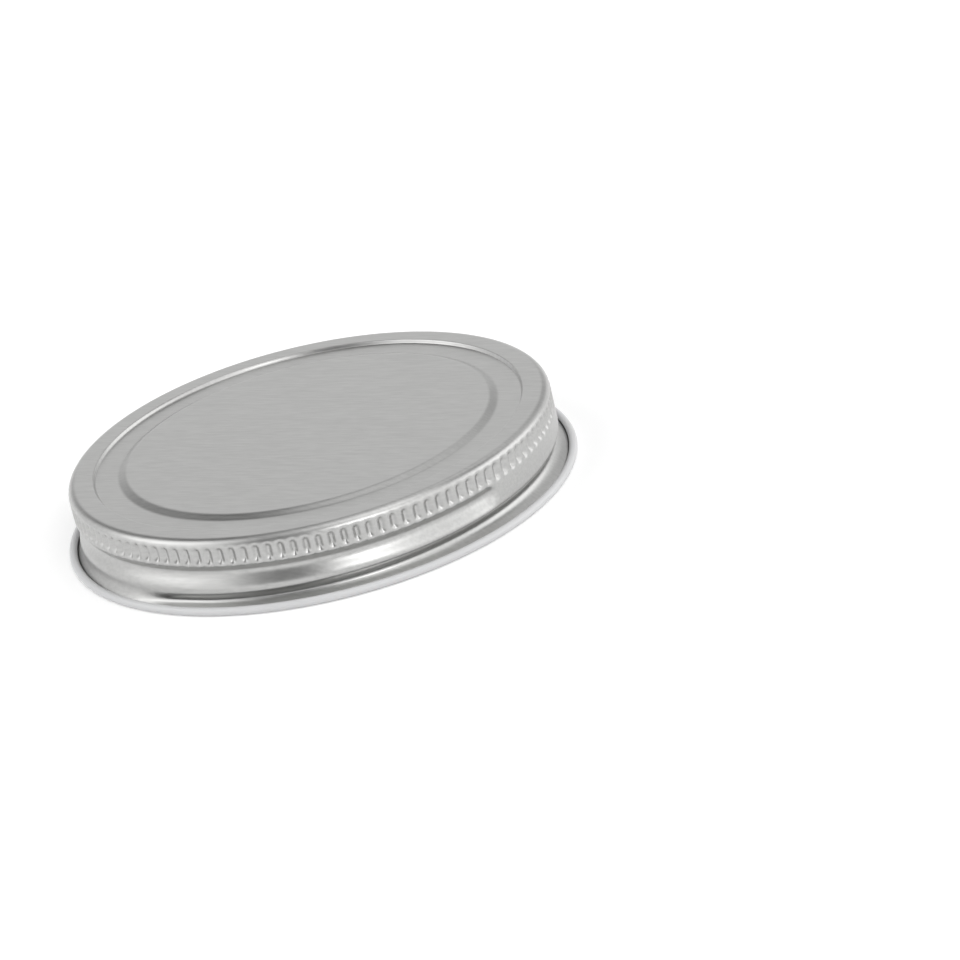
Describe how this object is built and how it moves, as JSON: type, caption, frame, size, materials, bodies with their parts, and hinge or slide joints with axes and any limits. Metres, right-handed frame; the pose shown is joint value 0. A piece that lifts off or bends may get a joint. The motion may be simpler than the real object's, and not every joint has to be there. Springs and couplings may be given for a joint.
{
  "type": "screw-on metal lid",
  "caption": "Shallow round tinplate screw lid with a knurled skirt, a rolled-in thread, a curled hem and a cast sealing ring.",
  "frame": {"origin": "on the lid's axis, in the plane of the lowest circle of the rolled curl", "axes": "+Z along the lid's axis, out of the panel and away from the jar; the thread starts between +X and -Y"},
  "size_m": [0.0746, 0.0746, 0.0106],
  "materials": {
    "tinplate": "bright tinplate with a fine brushed grain outside, white lacquer inside",
    "sealing_compound": "cream cast compound, soft and satin"
  },
  "bodies": {
    "root": {"lid_shell": "tinplate", "sealing_ring": "sealing_compound"}
  },
  "joints": []
}
